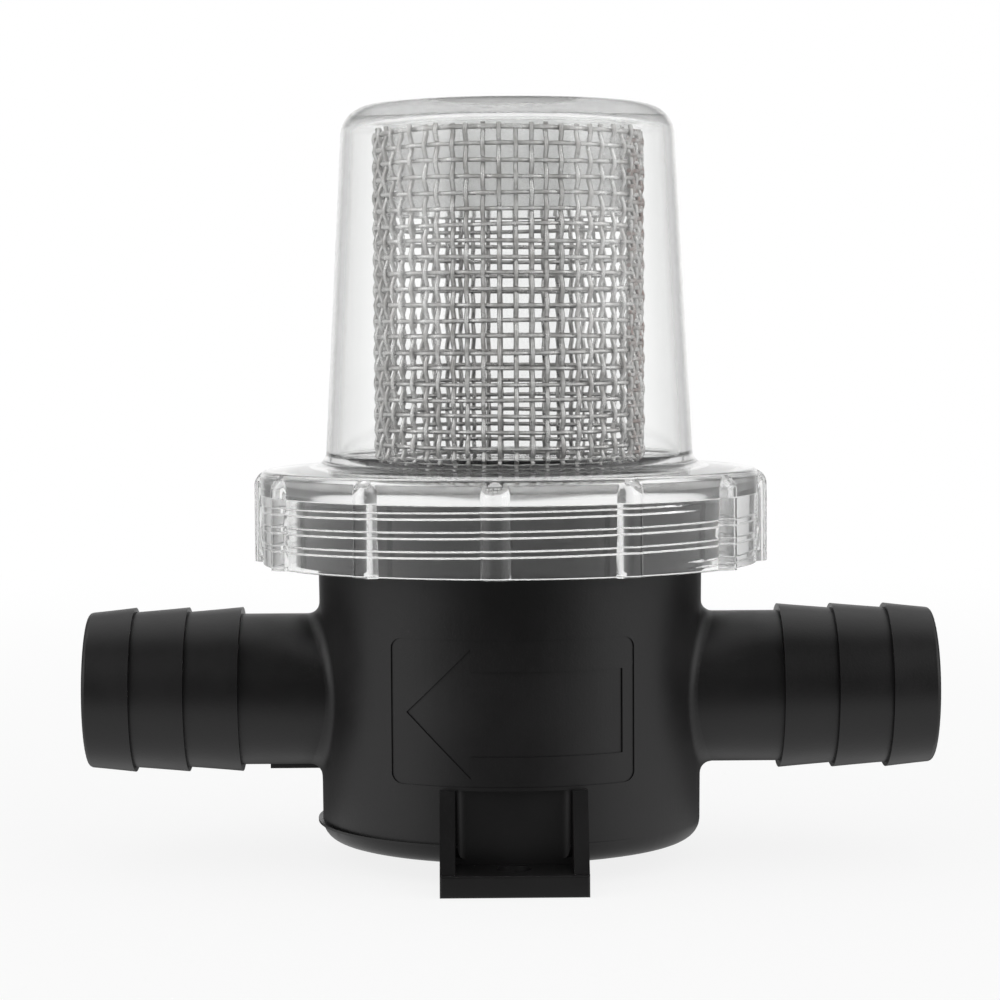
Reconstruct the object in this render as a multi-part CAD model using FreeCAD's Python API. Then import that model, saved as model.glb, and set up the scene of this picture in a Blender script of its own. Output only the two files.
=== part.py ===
import FreeCAD, Part

import math
import os

from FreeCAD import Vector

# In-line sea water strainer, in millimetres.
# X runs along the hoses, Z is up, and the feet stand on z = 0.
# The bowl's screw axis is x = y = 0.

# ---- hose connections -------------------------------------------------------------
HOSE_AXIS_Z = 28.1          # height of the hose axis above the foot undersides
TUBE_R = 12.5               # plain tube between the body and the first barb
BARB_CREST_R = 13.6         # largest radius of each barb
BARB_LOW_R = 12.85          # radius where each barb's slope runs out
BARB_STEPS_X = (44.4, 53.3, 62.15)   # steep faces, measured from the screw axis
HOSE_END_X = 69.85          # end face of each connection
NOSE_ROUND = 0.8
BORE_R = 9.5                # water passage
BORE_CHAMFER = 0.6
TUBE_ROOT_FILLET = 2.0

# ---- body -------------------------------------------------------------------------
FOOT_T = 3.5                # thickness of the foot plates
BODY_BOTTOM_Z = FOOT_T
BODY_LOW_R = 31.3           # outside radius above the bottom rounding
BODY_HIGH_R = 31.7          # outside radius under the neck
BODY_ROUND = 3.0            # rounding of the bottom edge
BODY_FLOOR_Z = 7.0          # inside floor
CHAMBER_R = 27.2            # inside radius of body and neck

# ---- neck and its seal groove -----------------------------------------------------
NECK_BOTTOM_Z = 49.4
NECK_TOP_Z = 60.1
NECK_R = 35.1               # root radius of the outside thread
NECK_LEAD = 0.5             # chamfer on the top outer edge
GROOVE_IN_R = 30.0
GROOVE_OUT_R = 33.0
GROOVE_BOTTOM_Z = 58.1

# ---- riser that carries the screen ------------------------------------------------
RISER_OUT_R = 22.6
RISER_IN_R = 18.6
SEAT_Z = 60.8               # step that the screen stands on
SPIGOT_R = 20.4             # locates the screen's lower end from inside
SPIGOT_TOP_Z = 61.6
SPIGOT_LEAD = 0.4
OUTLET_END_X = 24.0         # inner end of the outlet passage, clear of the riser
INLET_END_X = 10.0          # inner end of the inlet passage, inside the riser
CROSSING_START_X = 20.5     # inlet tube across the ring-shaped outlet chamber
CROSSING_END_X = 29.0

# ---- feet -------------------------------------------------------------------------
FOOT_HALF_W = 11.6
FOOT_REACH = 38.95          # front and rear edges of the feet
FOOT_EDGE_R = 0.4
CHEEK_T = 2.4
CHEEK_TOP_Z = 15.4
CHEEK_ROOT_Y = 26.0         # hidden end, inside the body wall
CHEEK_SHOULDER_Y = 30.9     # where the sloping edge leaves the body
CHEEK_TOE_Y = 37.8          # where the sloping edge meets the plate
POCKET_FLAT_Y = 29.4        # flat that clears the screw head
POCKET_CORNER_R = 1.7
TOE_FILL_TOP_Z = 8.0
SCREW_HOLE_R = 2.75
SCREW_HOLE_Y = 33.0

# ---- flow arrow on the front ------------------------------------------------------
PANEL_HALF_W = 19.2
PANEL_LOW_Z = 15.95
PANEL_HIGH_Z = 39.1
PANEL_CORNER_R = 1.7
PANEL_DEPTH = 0.2
ARROW_DEPTH = 0.45
ARROW_MID_Z = 27.4
ARROW_TIP_X = -16.8
ARROW_HEAD_X = -6.7         # back edge of the arrow head
ARROW_HEAD_HALF_H = 10.2
ARROW_SHAFT_HALF_H = 6.7
ARROW_TAIL_X = 17.3

# ---- moulding flash ---------------------------------------------------------------
FLASH_Z = 6.4
FLASH_T = 0.4
FLASH_R = 31.5
FLASH_SHIFT = (-0.55, -0.2)         # eccentric disc, proud on the outlet side only
STRIP_START_X = -40.0
STRIP_END_X = -30.0
STRIP_DROP = 0.8
STRIP_T = 0.6

# ---- screw thread between neck and bowl -------------------------------------------
PITCH = 3.0
THREAD_R = 36.8             # crest of the neck's thread
THREAD_CREST_W = 1.45
THREAD_FLANK_DEG = 11.0
THREAD_START_DEG = -52.0
THREAD_START_Z = 51.82
THREAD_TURNS = 2.2
BOWL_BORE_R = 37.2          # root of the bowl's thread
BOWL_CREST_R = 36.6         # crest of the bowl's thread
BOWL_CREST_W = 0.65
BOWL_FOOT_W = 1.3
BOWL_TURNS = 3.05           # starts half a pitch below the neck's thread
THREAD_SINK = 0.4           # how far a thread's foot is sunk in its wall

# ---- bowl -------------------------------------------------------------------------
BOWL_TOP_Z = 124.1
CUP_TOP_R = 27.5            # outside radius under the rounded top edge
CUP_LOW_R = 30.25           # outside radius above the shoulder fillet
CUP_TOP_ROUND = 5.0
CUP_WALL = 1.8
CUP_LID = 3.1               # thickness of the flat top
CUP_IN_ROUND = 1.5
SHOULDER_Z = 65.4           # top of the shoulder beside the cup
SHOULDER_EDGE_Z = 64.6      # top of the shoulder at the collar's edge
SHOULDER_UNDER_Z = 60.4
SHOULDER_SLOPE = 4.2        # height of the 45 degree slope inside the shoulder
SHOULDER_FILLET = 2.4
COLLAR_TOP_R = 41.1
COLLAR_LOW_R = 40.8
COLLAR_BOTTOM_Z = 49.2
COLLAR_ROUND = 1.2
COLLAR_LEAD = 0.1
RIB_COUNT = 12
RIB_R = 2.44
RIB_CENTRE_R = 40.05
RIB_TOP_Z = 64.35
RIB_TURN_DEG = -3.8         # the rib nearest the front stands this far round from it
SKIRT_R = 20.4              # inner skirt that locates the screen's upper end
SKIRT_WALL = 1.6
SKIRT_BOTTOM_Z = 106.3
SKIRT_ROUND = 0.5

# ---- screen -----------------------------------------------------------------------
SCREEN_OUT_R = 22.2
SCREEN_IN_R = 21.0
SCREEN_WALL_R = 21.8        # wall between the ridges
SCREEN_TOP_Z = 120.5
WARP_COUNT = 54             # upright wires, shown as ridges
WIRE_W = 0.7
GAP_COLUMNS = 27            # gaps cut right through, in every second space
GAP_ROWS = 4
GAP_W = 1.6
GAP_MARGIN = 0.6            # wall left above and below each gap

# ---- seal ring --------------------------------------------------------------------
SEAL_MID_R = 31.5
SEAL_HALF_W = 1.2
SEAL_TOP_Z = 60.45
SEAL_ROUND = 0.9

# ---- modelling allowances ---------------------------------------------------------
OVERCUT = 1.0               # how far a cutter or a sunk root runs past the face it meets
EDGE_SLACK = 1.0            # tolerance for picking an edge by its extent
CLOSE_ENOUGH = 1e-6
TURN = 360.0
QUARTER = 90.0
Z_AXIS = Vector(0, 0, 1)
X_AXIS = Vector(1, 0, 0)
ORIGIN = Vector(0, 0, 0)


def profile_face(points):
    """Face in the XZ plane from (x, z) points; a point may be an arc's middle: ("arc", x, z)."""
    edges = []
    here = points[0]
    index = 1
    while index < len(points):
        item = points[index]
        start = Vector(here[0], 0, here[1])
        if item[0] == "arc":
            middle = Vector(item[1], 0, item[2])
            here = points[index + 1]
            index += 2
            edges.append(Part.Arc(start, middle, Vector(here[0], 0, here[1])).toShape())
        else:
            here = item
            index += 1
            edges.append(Part.makeLine(start, Vector(here[0], 0, here[1])))
    first = Vector(points[0][0], 0, points[0][1])
    last = Vector(here[0], 0, here[1])
    if last.distanceToPoint(first) > CLOSE_ENOUGH:
        edges.append(Part.makeLine(last, first))
    return Part.Face(Part.Wire(edges))


def turned(points):
    """Solid of revolution about Z from an (r, z) outline."""
    return profile_face(points).revolve(ORIGIN, Z_AXIS, TURN)


def ring(r_in, r_out, z_low, z_high):
    """Plain ring with a rectangular section."""
    return turned([(r_in, z_low), (r_out, z_low), (r_out, z_high), (r_in, z_high)])


def round_corner(centre, radius, start_deg, end_deg):
    """The middle and end of an arc about centre, as profile_face wants them."""
    middle = math.radians((start_deg + end_deg) / 2)
    end = math.radians(end_deg)
    return [
        ("arc", centre[0] + radius * math.cos(middle), centre[1] + radius * math.sin(middle)),
        (centre[0] + radius * math.cos(end), centre[1] + radius * math.sin(end)),
    ]


def slab(x_low, x_high, y_low, y_high, z_low, z_high):
    """Box between two corners."""
    size = (x_high - x_low, y_high - y_low, z_high - z_low)
    return Part.makeBox(size[0], size[1], size[2], Vector(x_low, y_low, z_low))


def along_hose(radius, x_low, x_high):
    """Cylinder on the hose axis."""
    return Part.makeCylinder(radius, x_high - x_low, Vector(x_low, 0, HOSE_AXIS_Z), X_AXIS)


def thread_ridge(wall_r, crest_r, crest_w, foot_w, start_z, turns):
    """Helical ridge with a trapezium section, standing on a wall of radius wall_r."""
    side = 1 if crest_r > wall_r else -1
    foot_r = wall_r - side * THREAD_SINK
    section = Part.makePolygon([
        Vector(foot_r, 0, -foot_w / 2),
        Vector(wall_r, 0, -foot_w / 2),
        Vector(crest_r, 0, -crest_w / 2),
        Vector(crest_r, 0, crest_w / 2),
        Vector(wall_r, 0, foot_w / 2),
        Vector(foot_r, 0, foot_w / 2),
        Vector(foot_r, 0, -foot_w / 2),
    ])
    path = Part.makeHelix(PITCH, PITCH * turns, wall_r)
    ridge = Part.Wire(path.Edges).makePipeShell([section], True, True)
    ridge.rotate(ORIGIN, Z_AXIS, THREAD_START_DEG)
    ridge.translate(Vector(0, 0, start_z))
    return ridge


def flank_spread(height):
    """Extra width of a thread tooth at a depth below its crest."""
    return 2 * height * math.tan(math.radians(THREAD_FLANK_DEG))


def body_shell():
    """Body and neck as one solid of revolution, still without its hollows."""
    outline = [(0, BODY_BOTTOM_Z), (BODY_LOW_R - BODY_ROUND, BODY_BOTTOM_Z)]
    corner = (BODY_LOW_R - BODY_ROUND, BODY_BOTTOM_Z + BODY_ROUND)
    outline += round_corner(corner, BODY_ROUND, -QUARTER, 0)
    outline += [
        (BODY_HIGH_R, NECK_BOTTOM_Z),
        (NECK_R, NECK_BOTTOM_Z),
        (NECK_R, NECK_TOP_Z - NECK_LEAD),
        (NECK_R - NECK_LEAD, NECK_TOP_Z),
        (0, NECK_TOP_Z),
    ]
    return turned(outline)


def hose_tails():
    """Both barbed connections as one bar along X."""
    outline = [(0, 0), (0, TUBE_R)]
    low_r = TUBE_R
    for step_x in BARB_STEPS_X:
        outline += [(step_x, low_r), (step_x, BARB_CREST_R)]
        low_r = BARB_LOW_R
    nose = (HOSE_END_X - NOSE_ROUND, BARB_LOW_R - NOSE_ROUND)
    outline.append((nose[0], BARB_LOW_R))
    outline += round_corner(nose, NOSE_ROUND, QUARTER, 0)
    outline.append((HOSE_END_X, 0))
    tail = profile_face(outline).revolve(ORIGIN, X_AXIS, TURN)
    tail.translate(Vector(0, 0, HOSE_AXIS_Z))
    return both_ways(tail)


def root_edges(solid):
    """Edges where the hose tubes meet the round body."""
    found = []
    for edge in solid.Edges:
        box = edge.BoundBox
        tall = abs(box.ZLength - 2 * TUBE_R) < EDGE_SLACK
        near = CHAMBER_R < min(abs(box.XMin), abs(box.XMax)) < BODY_HIGH_R
        if tall and near and box.XLength > EDGE_SLACK:
            found.append(edge)
    return found


def cheek(x_low):
    """One side web of the front foot, with a sloping outer edge."""
    outline = [
        Vector(x_low, -CHEEK_ROOT_Y, FOOT_T / 2),
        Vector(x_low, -CHEEK_ROOT_Y, CHEEK_TOP_Z),
        Vector(x_low, -CHEEK_SHOULDER_Y, CHEEK_TOP_Z),
        Vector(x_low, -CHEEK_TOE_Y, FOOT_T),
        Vector(x_low, -CHEEK_TOE_Y, FOOT_T / 2),
        Vector(x_low, -CHEEK_ROOT_Y, FOOT_T / 2),
    ]
    return Part.Face(Part.makePolygon(outline)).extrude(Vector(CHEEK_T, 0, 0))


def foot_pocket():
    """Space between the webs of the front foot, flat towards the body."""
    inner = FOOT_HALF_W - CHEEK_T
    box = slab(-inner, inner, -2 * FOOT_REACH, -POCKET_FLAT_Y, FOOT_T, CHEEK_TOP_Z)
    uprights = [
        edge for edge in box.Edges
        if edge.BoundBox.ZLength > EDGE_SLACK and edge.BoundBox.YMin > -POCKET_FLAT_Y - EDGE_SLACK
    ]
    return box.makeFillet(POCKET_CORNER_R, uprights)


def both_ways(shape):
    """The shape and its copy turned half round the screw axis."""
    return shape.fuse(shape.rotated(ORIGIN, Z_AXIS, TURN / 2))


def feet():
    """Foot plate under the body, with a web at each side of both ends."""
    plate = slab(-FOOT_HALF_W, FOOT_HALF_W, -FOOT_REACH, FOOT_REACH, 0, FOOT_T)
    corners = [edge for edge in plate.Edges if edge.BoundBox.YLength < EDGE_SLACK]
    plate = plate.makeFillet(FOOT_EDGE_R, corners)
    webs = cheek(-FOOT_HALF_W).fuse(cheek(FOOT_HALF_W - CHEEK_T))
    inner = FOOT_HALF_W - CHEEK_T
    fill = slab(-inner, inner, -POCKET_FLAT_Y, -CHEEK_ROOT_Y, FOOT_T / 2, TOE_FILL_TOP_Z)
    return plate.fuse(both_ways(webs.fuse(fill)))


def body_cone(depth):
    """The body's outside wall, sunk by depth, as a cutting block."""
    low_z = BODY_BOTTOM_Z + BODY_ROUND
    height = NECK_BOTTOM_Z - low_z
    return Part.makeCone(BODY_LOW_R - depth, BODY_HIGH_R - depth, height, Vector(0, 0, low_z))


def sunk_mark(outline, depth):
    """Cutter that sinks a flat outline, seen from the front, into the round body."""
    prism = outline.extrude(Vector(0, -2 * BODY_HIGH_R, 0))
    return prism.cut(body_cone(depth))


def panel_outline():
    """Rounded rectangle around the arrow, in the XZ plane."""
    left = -PANEL_HALF_W + PANEL_CORNER_R
    right = PANEL_HALF_W - PANEL_CORNER_R
    low = PANEL_LOW_Z + PANEL_CORNER_R
    high = PANEL_HIGH_Z - PANEL_CORNER_R
    outline = [(left, PANEL_LOW_Z), (right, PANEL_LOW_Z)]
    outline += round_corner((right, low), PANEL_CORNER_R, -QUARTER, 0)
    outline += [(PANEL_HALF_W, high)]
    outline += round_corner((right, high), PANEL_CORNER_R, 0, QUARTER)
    outline += [(left, PANEL_HIGH_Z)]
    outline += round_corner((left, high), PANEL_CORNER_R, QUARTER, 2 * QUARTER)
    outline += [(-PANEL_HALF_W, low)]
    outline += round_corner((left, low), PANEL_CORNER_R, 2 * QUARTER, 3 * QUARTER)
    return profile_face(outline)


def arrow_outline():
    """Arrow that shows the way of the water, in the XZ plane."""
    head = ARROW_MID_Z + ARROW_HEAD_HALF_H
    shaft = ARROW_MID_Z + ARROW_SHAFT_HALF_H
    upper = [
        (ARROW_TIP_X, ARROW_MID_Z),
        (ARROW_HEAD_X, head),
        (ARROW_HEAD_X, shaft),
        (ARROW_TAIL_X, shaft),
    ]
    lower = [(x, 2 * ARROW_MID_Z - z) for x, z in reversed(upper[1:])]
    corners = [Vector(x, 0, z) for x, z in upper + lower]
    return Part.Face(Part.makePolygon(corners + corners[:1]))


def flash():
    """Thin lip on the bottom parting line, and a strip under the outlet tube."""
    lip = Part.makeCylinder(FLASH_R, FLASH_T, Vector(FLASH_SHIFT[0], FLASH_SHIFT[1], FLASH_Z))
    low_z = HOSE_AXIS_Z - TUBE_R - STRIP_DROP
    high_z = HOSE_AXIS_Z - BORE_R - OVERCUT
    strip = slab(STRIP_START_X, STRIP_END_X, -STRIP_T / 2, STRIP_T / 2, low_z, high_z)
    return [lip, strip]


def riser():
    """Upright tube that feeds the screen from inside."""
    return turned([
        (RISER_IN_R, BODY_FLOOR_Z - OVERCUT),
        (RISER_OUT_R, BODY_FLOOR_Z - OVERCUT),
        (RISER_OUT_R, SEAT_Z),
        (SPIGOT_R, SEAT_Z),
        (SPIGOT_R, SPIGOT_TOP_Z - SPIGOT_LEAD),
        (SPIGOT_R - SPIGOT_LEAD, SPIGOT_TOP_Z),
        (RISER_IN_R, SPIGOT_TOP_Z),
    ])


def bore_mouth(x_face, inward):
    """Chamfer on the end of a water passage."""
    centre = Vector(x_face - inward * BORE_CHAMFER, 0, HOSE_AXIS_Z)
    wide = BORE_R + 2 * BORE_CHAMFER
    return Part.makeCone(BORE_R, wide, 2 * BORE_CHAMFER, centre, Vector(inward, 0, 0))


def housing():
    """Black lower moulding: body, hose tails, feet, neck thread and riser."""
    solid = body_shell().fuse(hose_tails()).removeSplitter()
    solid = solid.makeFillet(TUBE_ROOT_FILLET, root_edges(solid))
    solid = solid.fuse([feet()] + flash())
    solid = solid.cut(both_ways(foot_pocket()))
    for hole_y in (-SCREW_HOLE_Y, SCREW_HOLE_Y):
        solid = solid.cut(Part.makeCylinder(SCREW_HOLE_R, 2 * FOOT_T, Vector(0, hole_y, -FOOT_T / 2)))
    solid = solid.cut(sunk_mark(panel_outline(), PANEL_DEPTH))
    solid = solid.cut(sunk_mark(arrow_outline(), ARROW_DEPTH))
    chamber = Part.makeCylinder(CHAMBER_R, NECK_TOP_Z, Vector(0, 0, BODY_FLOOR_Z))
    solid = solid.cut(chamber)
    solid = solid.fuse([riser(), along_hose(TUBE_R, CROSSING_START_X, CROSSING_END_X)])
    inlet = along_hose(BORE_R, INLET_END_X, HOSE_END_X)
    outlet = along_hose(BORE_R, -HOSE_END_X, -OUTLET_END_X)
    solid = solid.cut([inlet, outlet, bore_mouth(HOSE_END_X, 1), bore_mouth(-HOSE_END_X, -1)])
    solid = solid.cut(ring(GROOVE_IN_R, GROOVE_OUT_R, GROOVE_BOTTOM_Z, NECK_TOP_Z + OVERCUT))
    foot_w = THREAD_CREST_W + flank_spread(THREAD_R - NECK_R)
    ridge = thread_ridge(NECK_R, THREAD_R, THREAD_CREST_W, foot_w, THREAD_START_Z, THREAD_TURNS)
    return solid.fuse(ridge).removeSplitter()


def bowl_outline():
    """Section of the bowl without ribs and thread, as (r, z) from the inner top outwards."""
    lid_z = BOWL_TOP_Z - CUP_LID
    in_top_r = CUP_TOP_R - CUP_WALL
    in_low_r = CUP_LOW_R - CUP_WALL
    slope = (SHOULDER_Z - SHOULDER_EDGE_Z) / (COLLAR_TOP_R - CUP_LOW_R)
    fillet_end_r = CUP_LOW_R + SHOULDER_FILLET
    fillet_end_z = SHOULDER_Z - slope * SHOULDER_FILLET
    top_corner = (CUP_TOP_R - CUP_TOP_ROUND, BOWL_TOP_Z - CUP_TOP_ROUND)
    foot_corner = (fillet_end_r, fillet_end_z + SHOULDER_FILLET)
    edge_corner = (COLLAR_TOP_R - COLLAR_ROUND, SHOULDER_EDGE_Z - COLLAR_ROUND)
    outline = [(0, BOWL_TOP_Z), (top_corner[0], BOWL_TOP_Z)]
    outline += round_corner(top_corner, CUP_TOP_ROUND, QUARTER, 0)
    outline += [(CUP_LOW_R, foot_corner[1])]
    outline += round_corner(foot_corner, SHOULDER_FILLET, 2 * QUARTER, 3 * QUARTER)
    outline += [(edge_corner[0], SHOULDER_EDGE_Z)]
    outline += round_corner(edge_corner, COLLAR_ROUND, QUARTER, 0)
    outline += [
        (COLLAR_LOW_R, COLLAR_BOTTOM_Z),
        (BOWL_BORE_R + COLLAR_LEAD, COLLAR_BOTTOM_Z),
        (BOWL_BORE_R, COLLAR_BOTTOM_Z + COLLAR_LEAD),
        (BOWL_BORE_R, SHOULDER_UNDER_Z),
        (in_low_r + SHOULDER_SLOPE, SHOULDER_UNDER_Z),
        (in_low_r, SHOULDER_UNDER_Z + SHOULDER_SLOPE),
        (in_top_r, lid_z - CUP_IN_ROUND),
    ]
    outline += round_corner((in_top_r - CUP_IN_ROUND, lid_z - CUP_IN_ROUND), CUP_IN_ROUND, 0, QUARTER)
    outline += [(0, lid_z)]
    return outline


def rib(angle_deg):
    """One half-round grip rib with a domed top."""
    dome_z = RIB_TOP_Z - RIB_R
    angle = math.radians(angle_deg)
    foot = Vector(RIB_CENTRE_R * math.cos(angle), RIB_CENTRE_R * math.sin(angle), COLLAR_BOTTOM_Z)
    post = Part.makeCylinder(RIB_R, dome_z - COLLAR_BOTTOM_Z, foot)
    dome = Part.makeSphere(RIB_R, Vector(foot.x, foot.y, dome_z))
    return post.fuse(dome)


def skirt():
    """Short tube under the bowl's top that holds the screen's upper end."""
    inner_r = SKIRT_R - SKIRT_WALL
    top = BOWL_TOP_Z - CUP_LID / 2
    high = SKIRT_BOTTOM_Z + SKIRT_ROUND
    outline = [(inner_r, top), (inner_r, high)]
    outline += round_corner((inner_r + SKIRT_ROUND, high), SKIRT_ROUND, 2 * QUARTER, 3 * QUARTER)
    outline += [(SKIRT_R - SKIRT_ROUND, SKIRT_BOTTOM_Z)]
    outline += round_corner((SKIRT_R - SKIRT_ROUND, high), SKIRT_ROUND, -QUARTER, 0)
    outline += [(SKIRT_R, top)]
    return turned(outline)


def bowl():
    """Clear upper moulding: cup, shoulder, ribbed collar, inside thread and inner skirt."""
    solid = turned(bowl_outline())
    first = RIB_TURN_DEG - QUARTER
    step = TURN / RIB_COUNT
    solid = solid.fuse([rib(first + step * count) for count in range(RIB_COUNT)])
    solid = solid.fuse(skirt())
    start_z = THREAD_START_Z - PITCH / 2
    ridge = thread_ridge(BOWL_BORE_R, BOWL_CREST_R, BOWL_CREST_W, BOWL_FOOT_W, start_z, BOWL_TURNS)
    return solid.fuse(ridge).removeSplitter()


def wire_outline():
    """Cross-section of the screen's wall, with a ridge for each upright wire."""
    corners = []
    for column in range(WARP_COUNT):
        middle = TURN / WARP_COUNT * column
        tooth = ((SCREEN_WALL_R, -1), (SCREEN_OUT_R, -1), (SCREEN_OUT_R, 1), (SCREEN_WALL_R, 1))
        for radius, side in tooth:
            angle = math.radians(middle) + side * WIRE_W / 2 / radius
            corners.append(Vector(radius * math.cos(angle), radius * math.sin(angle), SEAT_Z))
    outer = Part.Face(Part.makePolygon(corners + corners[:1]))
    inner = Part.makeCylinder(SCREEN_IN_R, SCREEN_TOP_Z, ORIGIN)
    return outer.cut(inner)


def screen():
    """Woven wire cylinder as one ridged wall, with open gaps between the wires."""
    height = SCREEN_TOP_Z - SEAT_Z
    wall = wire_outline().extrude(Vector(0, 0, height))
    band_step = (height - WIRE_W) / GAP_ROWS
    bands = []
    for row in range(GAP_ROWS + 1):
        low = SEAT_Z + band_step * row
        bands.append(ring(SCREEN_IN_R, SCREEN_OUT_R, low, low + WIRE_W))
    gaps = []
    for column in range(GAP_COLUMNS):
        for row in range(GAP_ROWS):
            low = SEAT_Z + WIRE_W + band_step * row + GAP_MARGIN
            high = SEAT_Z + band_step * (row + 1) - GAP_MARGIN
            gap = slab(SPIGOT_R, SCREEN_OUT_R + OVERCUT, -GAP_W / 2, GAP_W / 2, low, high)
            gap.rotate(ORIGIN, Z_AXIS, TURN / GAP_COLUMNS * column + TURN / WARP_COUNT / 2)
            gaps.append(gap)
    return wall.fuse(bands).cut(Part.makeCompound(gaps)).removeSplitter()


def seal():
    """Rubber ring, squeezed in its groove under the bowl's shoulder."""
    left = SEAL_MID_R - SEAL_HALF_W + SEAL_ROUND
    right = SEAL_MID_R + SEAL_HALF_W - SEAL_ROUND
    low = GROOVE_BOTTOM_Z + SEAL_ROUND
    high = SEAL_TOP_Z - SEAL_ROUND
    outline = [(left, GROOVE_BOTTOM_Z), (right, GROOVE_BOTTOM_Z)]
    outline += round_corner((right, low), SEAL_ROUND, -QUARTER, 0)
    outline += [(right + SEAL_ROUND, high)]
    outline += round_corner((right, high), SEAL_ROUND, 0, QUARTER)
    outline += [(left, SEAL_TOP_Z)]
    outline += round_corner((left, high), SEAL_ROUND, QUARTER, 2 * QUARTER)
    outline += [(left - SEAL_ROUND, low)]
    outline += round_corner((left, low), SEAL_ROUND, 2 * QUARTER, 3 * QUARTER)
    return turned(outline)


def main():
    """Build every piece and write one STEP file for each."""
    os.makedirs("parts", exist_ok=True)
    pieces = {"housing": housing, "bowl": bowl, "screen": screen, "seal_ring": seal}
    for name, make in pieces.items():
        shape = make().Solids[0]
        box = shape.BoundBox
        print(name, shape.isValid(), round(shape.Volume), "mm3", box)
        shape.exportStep("parts/" + name + ".step")


main()
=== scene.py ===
"""Sea water strainer: the clear bowl, the woven screen and every finish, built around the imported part."""

import math

import bmesh
import bpy
import numpy as np
from bpy.props import FloatProperty, FloatVectorProperty, IntProperty, PointerProperty
from mathutils import Matrix, Vector


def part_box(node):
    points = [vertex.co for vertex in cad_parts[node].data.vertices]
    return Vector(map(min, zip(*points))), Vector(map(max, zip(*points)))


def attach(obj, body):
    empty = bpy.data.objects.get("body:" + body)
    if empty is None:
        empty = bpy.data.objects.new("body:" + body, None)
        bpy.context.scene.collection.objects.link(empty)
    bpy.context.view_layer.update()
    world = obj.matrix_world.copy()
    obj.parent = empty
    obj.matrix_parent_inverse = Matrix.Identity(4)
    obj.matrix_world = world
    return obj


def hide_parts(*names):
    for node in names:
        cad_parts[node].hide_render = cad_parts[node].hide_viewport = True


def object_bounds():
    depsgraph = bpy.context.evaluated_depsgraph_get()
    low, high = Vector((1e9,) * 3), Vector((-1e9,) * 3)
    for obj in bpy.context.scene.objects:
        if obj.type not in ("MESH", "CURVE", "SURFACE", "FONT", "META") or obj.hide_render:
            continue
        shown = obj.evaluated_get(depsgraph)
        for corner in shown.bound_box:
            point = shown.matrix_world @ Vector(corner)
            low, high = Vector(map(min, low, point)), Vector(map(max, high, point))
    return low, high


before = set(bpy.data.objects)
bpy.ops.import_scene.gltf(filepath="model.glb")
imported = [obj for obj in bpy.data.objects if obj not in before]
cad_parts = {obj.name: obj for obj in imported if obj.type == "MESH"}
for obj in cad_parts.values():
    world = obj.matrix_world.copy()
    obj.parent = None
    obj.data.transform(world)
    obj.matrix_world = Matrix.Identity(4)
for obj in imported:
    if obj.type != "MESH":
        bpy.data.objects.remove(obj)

CAD_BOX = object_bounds()

bl_info = {
    "name": "Sea water strainer",
    "version": (1, 0, 0),
    "blender": (4, 5, 0),
    "location": "3D View > Sidebar > Strainer",
    "description": "Clear bowl, woven wire screen and black moulded housing of an in-line strainer",
    "category": "Add Mesh",
}

MM = 0.001
FULL_TURN = 2 * math.pi
QUARTER = math.pi / 2

BOWL_LOW, BOWL_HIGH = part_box("bowl")
SCREEN_LOW, SCREEN_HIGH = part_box("screen")

WEAVE_TURN = math.radians(-94.3)      # where the first upright wire stands, from +X
WIRE_SIDES = 6
UPRIGHT_STEPS = 150                   # places along an upright wire
LEVEL_STEPS = 6                       # places on a level wire for each upright wire
SEAM_STEPS = 7                        # places on a seam's level wire for each upright wire
WIRE_SHARP = math.radians(70)
WIRE_WELD = 1e-8
BOWL_WELD = 2e-7
RIB_STEPS = 14
GAP_STEPS = 16
THREAD_FADE = 1 / 12                  # turns over which each end of the thread fades
FLOOR_REACH = 6.0
FLOOR_Z = -0.02 * MM
LAMP_PLACE = (0.62, -0.32, 0.42)      # the right lamp; the left one is its mirror image
LAMP_SIZE = 0.60
LAMP_POWER = 1.0
WHITE = (1.0, 1.0, 1.0)


# ---- sizes and colours a user may change ---------------------------------------------

def length(label, about, millimetres):
    """A size property, written in millimetres and kept in metres."""
    return FloatProperty(name=label, description=about, default=millimetres * MM,
                         precision=5, subtype="DISTANCE", unit="LENGTH")


def colour(label, about, value):
    """A linear colour property."""
    return FloatVectorProperty(name=label, description=about, default=value, size=3,
                               min=0.0, max=1.0, subtype="COLOR")


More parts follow.
